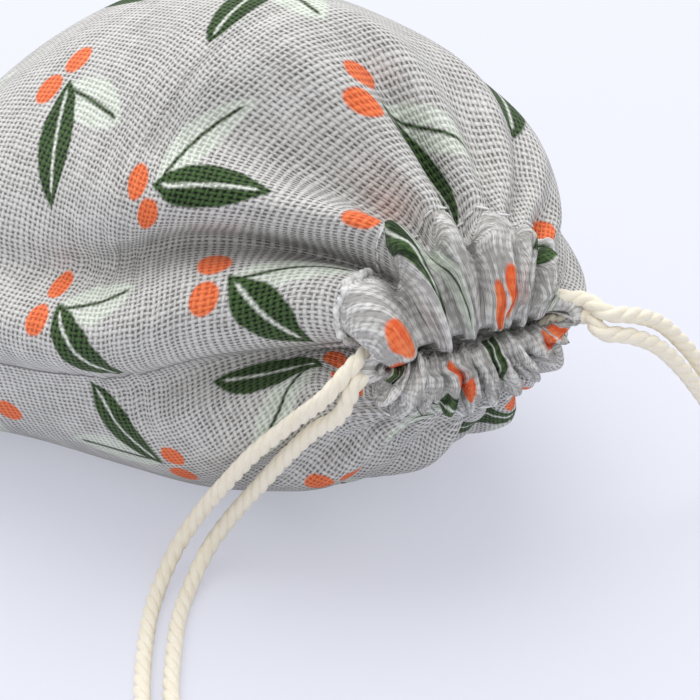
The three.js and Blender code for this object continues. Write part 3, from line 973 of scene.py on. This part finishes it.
def tube(path, radii, sides):
    """Points, faces and UVs (along and round, in millimetres) of a closed tube along a path."""
    across, up = carried_axes(path)
    angle = 2 * math.pi * np.arange(sides) / sides
    ring = across[:, None] * np.cos(angle)[None, :, None] + up[:, None] * np.sin(angle)[None, :, None]
    points = path[:, None] + ring * np.asarray(radii)[:, None, None]
    lengths = run_lengths(path)
    girth = 2 * math.pi * float(np.mean(radii))
    faces = []
    corners = []
    for i in range(len(path) - 1):
        for k in range(sides):
            j = (k + 1) % sides
            faces.append([i * sides + k, i * sides + j, (i + 1) * sides + j, (i + 1) * sides + k])
            for row, column in ((i, k), (i, k + 1), (i + 1, k + 1), (i + 1, k)):
                corners.append((lengths[row], girth * column / sides))
    for end, order in ((0, range(sides - 1, -1, -1)), (len(path) - 1, range(sides))):
        faces.append([end * sides + k for k in order])
        corners.extend([(lengths[end], 0.0)] * sides)
    return points.reshape(-1, 3), faces, corners


def joined(name, parts):
    """One object from several (points, faces, corners)."""
    points = []
    faces = []
    corners = []
    start = 0
    for part_points, part_faces, part_corners in parts:
        points.append(part_points)
        faces.extend([[start + index for index in face] for face in part_faces])
        corners.extend(part_corners)
        start += len(part_points)
    made = mesh_object(name, in_metres(np.vstack(points)), faces)
    set_uv(made.data, "ply_mm", corners)
    made.data.shade_smooth()
    return made


def plies(path, start_angle=0.0, open_from=None):
    """Three tubes wound round a path, never below the table. Past open_from millimetres they spread."""
    across, up = carried_axes(path)
    lengths = run_lengths(path)
    spread = np.clip(lengths - (lengths[-1] if open_from is None else open_from), 0, None)
    made = []
    for ply in range(3):
        angle = start_angle - 2 * math.pi * (lengths / LAY_LENGTH - ply / 3)
        offset = PLY_OFFSET + OPENING_OUT * spread
        aside = across * np.cos(angle)[:, None] + up * np.sin(angle)[:, None]
        line = path + aside * offset[:, None]
        line[:, 2] = np.maximum(line[:, 2], PLY_RADIUS)
        made.append(tube(line, np.full(len(line), PLY_RADIUS), PLY_SIDES))
    return made


# %% [markdown]
# Each drawcord runs once round inside the casing and leaves it by the opening at its own side
# seam. The two free strands turn down over the bag, lie on the table and end in one knot. Their
# routes are given lists, the same as the model's. Here they start a little further inside.

# %% Cord routes
FIT_GAP = 0.3
INSIDE_REACH = 3
EXIT_REACH = 17.6
EXIT_HEIGHT = 4.4
EXIT_SPREAD = 3
EXIT_LEVEL = -2.3
LOOP_HALF_WIDTH = 11.5
LOOP_SHOULDER = 14.7
LOOP_RISE = 5.2
LOOP_DROP = 8
LOOP_DEPTH = {"left": -1.6, "right": 1.2}
SIDE = {"left": -1, "right": 1}


def loop_route(name):
    side = SIDE[name]
    depth = LOOP_DEPTH[name]
    near_exit = mix(depth, EXIT_HEIGHT, 0.7)
    return [at_neck(across * side, up, forward) for across, up, forward in (
        (EXIT_REACH, EXIT_LEVEL + EXIT_SPREAD / 2, EXIT_HEIGHT),
        (LOOP_SHOULDER, EXIT_LEVEL + 1 + EXIT_SPREAD / 2, near_exit),
        (LOOP_HALF_WIDTH - 1.5, 0.6 * LOOP_RISE, depth),
        (LOOP_HALF_WIDTH * 0.45, LOOP_RISE, depth),
        (-LOOP_HALF_WIDTH * 0.4, LOOP_RISE, depth),
        (-(LOOP_HALF_WIDTH - 3), 0.5 * LOOP_RISE, depth),
        (-(LOOP_HALF_WIDTH - 1.4), -0.2 * LOOP_DROP, depth),
        (-(LOOP_HALF_WIDTH - 3), -0.75 * LOOP_DROP, depth),
        (-LOOP_HALF_WIDTH * 0.4, -LOOP_DROP, depth),
        (LOOP_HALF_WIDTH * 0.45, -LOOP_DROP, depth),
        (LOOP_HALF_WIDTH - 1.5, -0.8 * LOOP_DROP, depth),
        (LOOP_SHOULDER, EXIT_LEVEL + 0.4 - EXIT_SPREAD / 2, near_exit),
        (EXIT_REACH, EXIT_LEVEL - EXIT_SPREAD / 2, EXIT_HEIGHT),
    )]


STRAND_ROUTES = {
    "left_strand_a": [
        (117, -34.6, 41.6), (111.2, -34.8, 35), (104.8, -36.8, 27.6), (99.4, -38.2, 20), (94, -39.6, 11.6),
        (91, -42.6, 5), (92, -48.6, 1.9), (95.2, -55.4, 1.4), (100.8, -64, 1.4), (106, -70.8, 1.4),
        (112.4, -77.6, 1.4), (120.2, -83.4, 1.4), (129.4, -87.4, 1.4), (139, -89.2, 1.5), (145.4, -89.6, 2.2),
    ],
    "left_strand_b": [
        (119, -33.2, 38.4), (113.8, -33.2, 33), (108.4, -33.8, 26), (103.4, -35, 18.6), (98.2, -36.8, 10.6),
        (95.6, -40, 5), (96, -45, 1.9), (98.8, -52, 1.4), (104, -60.4, 1.4), (109.4, -67.8, 1.4),
        (115.6, -74, 1.4), (122.8, -79.4, 1.4), (131, -83.4, 1.4), (139.6, -86, 1.5), (145.6, -87, 2.2),
    ],
    "right_strand_a": [
        (147.4, -0.4, 48.8), (150.6, 3.4, 47.2), (152.6, 7.8, 44), (155, 12.4, 38), (157.2, 17.2, 30),
        (159, 22.4, 20), (160, 27.4, 10.4), (161.4, 32.4, 3.6), (164.4, 38.6, 1.4), (168.4, 47, 1.4),
        (169.4, 57, 1.4), (166, 66.6, 1.4), (158.8, 74, 1.5), (154, 77.4, 2.2),
    ],
    "right_strand_b": [
        (147.4, -1.8, 46), (151, 1.6, 44.4), (153.4, 5.8, 41), (155.8, 10.2, 35), (158.2, 14.8, 27),
        (160.4, 20, 17.4), (161.8, 25.2, 8.6), (164, 30.6, 2.8), (167.8, 37.2, 1.4), (171.8, 46.4, 1.4),
        (172.6, 57.6, 1.4), (168.8, 68.2, 1.4), (161, 76.2, 1.5), (155.6, 79.6, 2.2),
    ],
}


def strand_route(name):
    """From inside the opening, where the loop ends, straight out of it and along the route."""
    loop = loop_route(name.split("_")[0])
    end, inner = (loop[0], loop[1]) if name.endswith("a") else (loop[-1], loop[-2])
    run = (end - inner) / np.linalg.norm(end - inner)
    start = [end - run * INSIDE_REACH, end + run * FIT_GAP, end + run * CORD_DIAMETER]
    return start + [np.array(p) for p in STRAND_ROUTES[name]]


# %% [markdown]
# The knot is a plain overhand knot, tied in both strands at once. A lump would pass from far away,
# but a real one shows the cords crossing, so the pair follows the curve of an open trefoil: in from
# one side, round, through its own loop and out, with the two cut ends untwisting a little.

# %% Overhand knots
KNOT_UNIT = 1.15
KNOT_LIFT = 1.3
KNOT_REST = 2.75
TAIL_TURNS_OPEN = 5.5
PAIR_HALF_GAP = 1.0
KNOT_HALF_LENGTH = 5.2
TREFOIL_GAP = 0.16
PLY_START = {"a": 1.0, "b": 2.4}


def knot_line(start, forward):
    """The middle line of the cord pair through the knot and on to the cut ends."""
    t = np.linspace(math.pi + TREFOIL_GAP, 3 * math.pi - TREFOIL_GAP, 60)
    along = (np.sin(t) + 2 * np.sin(2 * t)) * KNOT_UNIT
    across = (np.cos(t) - 2 * np.cos(2 * t) + 3) * KNOT_UNIT - 1.6
    height = -np.sin(3 * t) * KNOT_LIFT
    trefoil = np.stack([along, across, height], 1)
    into = [(-KNOT_HALF_LENGTH, 0, start[2] - KNOT_REST), (-3.4, -1.3, -0.9), (-1.5, -1.75, -1.0)]
    out = [(1.5, -1.75, 1.0), (3.6, -1.4, 0.6), (6, -0.7, -0.6), (9, 0.3, -1.4), (12, 0.6, -1.5)]
    local = np.vstack([into, trefoil[2:-2], out])
    left = np.cross((0, 0, 1), forward)
    line = start + forward * KNOT_HALF_LENGTH
    line = line + np.outer(local[:, 0], forward) + np.outer(local[:, 1], left)
    line[:, 2] = KNOT_REST + local[:, 2]
    return line


def knot_parts(ends, forward):
    """Both cords of a pair through the overhand knot and on to their cut ends."""
    line = smooth_path(knot_line((ends[0] + ends[1]) / 2, forward), 0.35)
    across, up = carried_axes(line)
    lengths = run_lengths(line)
    half_gap = mix(np.linalg.norm(ends[1] - ends[0]) / 2, PAIR_HALF_GAP, ease(lengths / 3))
    parts = []
    for sign, angle in ((1, PLY_START["a"]), (-1, PLY_START["b"])):
        cord_line = line + across * (sign * half_gap)[:, None]
        parts += plies(cord_line, start_angle=angle, open_from=lengths[-1] - TAIL_TURNS_OPEN)
    return parts


# %% [markdown]
# Cotton cord is matt and slightly hairy. Its colour is a warm cream that darkens in the grooves
# between the plies. The fibres run along each ply at a small angle, so a noise is stretched that way.

# %% Cord finish
CORD_LIGHT = srgb(255, 250, 236)
CORD_SHADE = srgb(248, 236, 212)


def cord_finish():
    finish = Finish("cotton_cord")
    uv = finish.uv("ply_mm")
    along, round_place, _ = finish.parts(uv)
    slanted = finish.vector(along * 0.9 + round_place * 0.5, round_place * 5.0)
    fibres = finish.noise(slanted, 1.6, 3)
    patches = finish.noise(uv, 0.5, 2)
    tone = fibres * 0.7 + patches * 0.5
    colour = finish.colour(finish.step(tone, 0.3, 0.85), CORD_SHADE, CORD_LIGHT)
    return finish.surface(colour, fibres, 0.16 * MM, roughness=0.95, sheen=0.2, strength=0.8)


cord_material = cord_finish()

# %% [markdown]
# Now the cords are laid: for each side the stretch inside the casing, two free strands and their
# knot. Each piece takes the place of its plain node.

# %% Cords
for name in ("left", "right"):
    loop_path = smooth_path(loop_route(name), 0.5)[2 * INSIDE_REACH:-2 * INSIDE_REACH]
    loop = joined(f"{name}_loop_cord", plies(loop_path))
    loop.data.materials.append(cord_material)
    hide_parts(f"{name}_drawcord_loop")
    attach(loop, "root")
    paths = {letter: smooth_path(strand_route(f"{name}_strand_{letter}"), 0.5) for letter in "ab"}
    last_run = paths["a"][-1] - paths["a"][-5]
    last_run[2] = 0
    forward = last_run / np.linalg.norm(last_run)
    knot = joined(f"{name}_overhand_knot", knot_parts((paths["a"][-1], paths["b"][-1]), forward))
    knot.data.materials.append(cord_material)
    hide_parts(f"{name}_knot")
    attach(knot, "root")
    for letter, path in paths.items():
        node = f"{name}_strand_{letter}"
        strand = joined(f"{node}_cord", plies(path, start_angle=PLY_START[letter]))
        strand.data.materials.append(cord_material)
        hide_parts(node)
        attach(strand, "root")

# %% [markdown]
# One row of white machine stitches holds the casing. They are small and all alike, so a node group
# lays them: it turns a line into points, one stitch to each, and makes them real at the end. The
# line follows the cloth's own row over every crest and into every valley.

# %% Casing stitches
STITCH_STEP = 3.1
STITCH_LENGTH = 2.3
THREAD_RADIUS = 0.2
THREAD_LIFT = 0.12


def running_stitch_nodes():
    tree = bpy.data.node_groups.new("running_stitch", "GeometryNodeTree")
    tree.is_modifier = True
    face = tree.interface
    face.new_socket("Line", in_out="INPUT", socket_type="NodeSocketGeometry")
    for name in ("Step", "Half length", "Thread radius"):
        face.new_socket(name, in_out="INPUT", socket_type="NodeSocketFloat")
    face.new_socket("Thread", in_out="INPUT", socket_type="NodeSocketMaterial")
    face.new_socket("Stitches", in_out="OUTPUT", socket_type="NodeSocketGeometry")
    given = tree.nodes.new("NodeGroupInput")
    result = tree.nodes.new("NodeGroupOutput")
    curve = tree.nodes.new("GeometryNodeMeshToCurve")
    points = tree.nodes.new("GeometryNodeCurveToPoints")
    points.mode = "LENGTH"
    stitch = tree.nodes.new("GeometryNodeMeshUVSphere")
    for key, value in (("Segments", 8), ("Rings", 7), ("Radius", 1)):
        stitch.inputs[key].default_value = value
    turn = tree.nodes.new("FunctionNodeAlignRotationToVector")
    turn.axis = "Z"
    size = tree.nodes.new("ShaderNodeCombineXYZ")
    place = tree.nodes.new("GeometryNodeInstanceOnPoints")
    real = tree.nodes.new("GeometryNodeRealizeInstances")
    finish = tree.nodes.new("GeometryNodeSetMaterial")
    for source, output, target, key in (
        (given, "Line", curve, "Mesh"),
        (curve, "Curve", points, "Curve"),
        (given, "Step", points, "Length"),
        (points, "Points", place, "Points"),
        (points, "Tangent", turn, "Vector"),
        (turn, "Rotation", place, "Rotation"),
        (given, "Thread radius", size, "X"),
        (given, "Thread radius", size, "Y"),
        (given, "Half length", size, "Z"),
        (size, "Vector", place, "Scale"),
        (stitch, "Mesh", place, "Instance"),
        (place, "Instances", real, "Geometry"),
        (real, "Geometry", finish, "Geometry"),
        (given, "Thread", finish, "Material"),
        (finish, "Geometry", result, "Stitches"),
    ):
        tree.links.new(source.outputs[output], target.inputs[key])
    return tree


def thread_finish():
    finish = Finish("sewing_thread")
    strands = finish.noise(finish.object_place(), 3000.0, 2)
    colour = finish.colour(strands, srgb(226, 228, 230), srgb(252, 252, 252))
    return finish.surface(colour, strands, 0.05 * MM, roughness=0.6, sheen=0.2)


def stitches(name, line):
    """Stitches along a closed line, as a plain mesh."""
    count = len(line)
    mesh = bpy.data.meshes.new(name)
    mesh.from_pydata(in_metres(line).tolist(), [(k, (k + 1) % count) for k in range(count)], [])
    made = bpy.data.objects.new(name, mesh)
    scene.collection.objects.link(made)
    layer = made.modifiers.new("stitches", "NODES")
    layer.node_group = stitch_nodes
    values = {
        "Step": STITCH_STEP * MM,
        "Half length": STITCH_LENGTH / 2 * MM,
        "Thread radius": THREAD_RADIUS * MM,
        "Thread": thread_material,
    }
    for socket in stitch_nodes.interface.items_tree:
        if socket.in_out == "INPUT" and socket.name in values:
            layer[socket.identifier] = values[socket.name]
    real = as_plain_mesh(made)
    made.data.shade_smooth()
    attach(made, "root")
    print(name, len(real.polygons), "faces")


stitch_nodes = running_stitch_nodes()
thread_material = thread_finish()
STITCH_ROW = BODY_ROWS - 1
row_run = settled[STITCH_ROW + 1] - settled[STITCH_ROW - 1]
row_turn = np.roll(settled[STITCH_ROW], -1, axis=0) - np.roll(settled[STITCH_ROW], 1, axis=0)
row_out = np.cross(row_run, row_turn)
row_out /= np.linalg.norm(row_out, axis=1, keepdims=True)
stitches("casing_stitches", settled[STITCH_ROW] + THREAD_LIFT * row_out)

# %% [markdown]
# At each side seam the casing ends in its own turned hem, which stands up a little as a thin, wavy,
# slightly frayed edge. It follows the cloth from the seam up over the roll beside it.

# %% Hem edges
HEM_WAY = 0.992
HEM_RADIUS = 0.72
HEM_LIFT = 0.55
HEM_WAVE = 1.1
HEM_SPANS = {"near_hem_edge": (0.008, 0.236), "far_hem_edge": (0.8, 0.985)}


def hem_finish():
    finish = Finish("turned_hem")
    uv = finish.uv("ply_mm")
    threads = finish.noise(uv, 1.1, 3)
    fibres = finish.noise(uv, 6.0, 2)
    colour = finish.colour(finish.step(threads, 0.3, 0.7), srgb(196, 195, 193), srgb(248, 248, 246))
    return finish.surface(colour, threads + fibres * 0.4, 0.3 * MM, roughness=0.95, sheen=0.1)


def hem_edge(name, first, last):
    places = np.linspace(first, last, 90)
    ring, _ = cloth_ring(HEM_WAY, places)
    waves = np.interp(places, np.linspace(first, last, 10), rng.uniform(-HEM_WAVE, HEM_WAVE, 10))
    line = ring + outward(HEM_WAY, places) * HEM_LIFT + np.outer(waves, NECK_AXES[0])
    line = smooth_path(line, 0.3)
    swell = 1 + 0.25 * np.sin(np.arange(len(line)) * 0.9) + rng.uniform(-0.12, 0.12, len(line))
    made = joined(name, [tube(line, HEM_RADIUS * swell, 8)])
    made.data.materials.append(hem_material)
    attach(made, "root")
    print(name, round(run_lengths(line)[-1], 1), "mm")


hem_material = hem_finish()
for name, span in HEM_SPANS.items():
    hem_edge(name, *span)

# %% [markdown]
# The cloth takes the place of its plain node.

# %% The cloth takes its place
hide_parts("pouch_cloth")
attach(bag, "root")

# %% [markdown]
# A pale floor and soft daylight, as in the photograph: one large lamp above and a little behind,
# and an even pale sky that fills the shadows. Where the camera sees the floor, a share of plain
# background colour is mixed in, which keeps it pale and doesn't light the bag.

# %% Floor and light
FLOOR_COLOUR = srgb(222, 224, 235)
FLOOR_COLOUR_TOO = srgb(224, 226, 237)
FLOOR_HALF_SIDE = 4.0
BACKGROUND_COLOUR = srgb(240, 242, 254)
BACKGROUND_SHARE = 0.45
LAMP_PLACE = (-0.4, 0.3, 1.45)
LAMP_AIM = (0, 0, 0.03)
LAMP_SIZE = 1.8
LAMP_WATTS = 17
SKY_COLOUR = (0.985, 0.99, 1.0, 1)
SKY_STRENGTH = 0.76


def make_floor():
    corners = np.array([(-1, -1, 0), (1, -1, 0), (1, 1, 0), (-1, 1, 0)]) * FLOOR_HALF_SIDE
    floor = mesh_object("floor", corners, [[0, 1, 2, 3]])
    finish = Finish("pale_table")
    uneven = finish.noise(finish.object_place(), 3.0, 2)
    colour = finish.colour(uneven, FLOOR_COLOUR, FLOOR_COLOUR_TOO)
    table = finish.node("ShaderNodeBsdfDiffuse", {}, {"Color": colour})
    glow = finish.node("ShaderNodeEmission", {}, {"Color": BACKGROUND_COLOUR})
    seen = finish.out(finish.node("ShaderNodeLightPath", {}, {}), "Is Camera Ray")
    both = finish.node("ShaderNodeMixShader", {}, {0: seen * BACKGROUND_SHARE})
    finish.tree.links.new(table.outputs[0], both.inputs[1])
    finish.tree.links.new(glow.outputs[0], both.inputs[2])
    finish.tree.links.new(both.outputs[0], finish.output.inputs["Surface"])
    floor.data.materials.append(finish.material)


make_floor()
window_light = bpy.data.lights.new("window", "AREA")
window_light.shape = "DISK"
window_light.size = LAMP_SIZE
window_light.energy = LAMP_WATTS
window = bpy.data.objects.new("window", window_light)
window.location = LAMP_PLACE
window.rotation_euler = (Vector(LAMP_PLACE) - Vector(LAMP_AIM)).to_track_quat("Z", "Y").to_euler()
scene.collection.objects.link(window)
sky = bpy.data.worlds.new("sky")
sky.use_nodes = True
sky.node_tree.nodes["Background"].inputs["Color"].default_value = SKY_COLOUR
sky.node_tree.nodes["Background"].inputs["Strength"].default_value = SKY_STRENGTH
scene.world = sky
scene.view_settings.view_transform = "Standard"
print("lamp", LAMP_WATTS, "W, sky", SKY_STRENGTH)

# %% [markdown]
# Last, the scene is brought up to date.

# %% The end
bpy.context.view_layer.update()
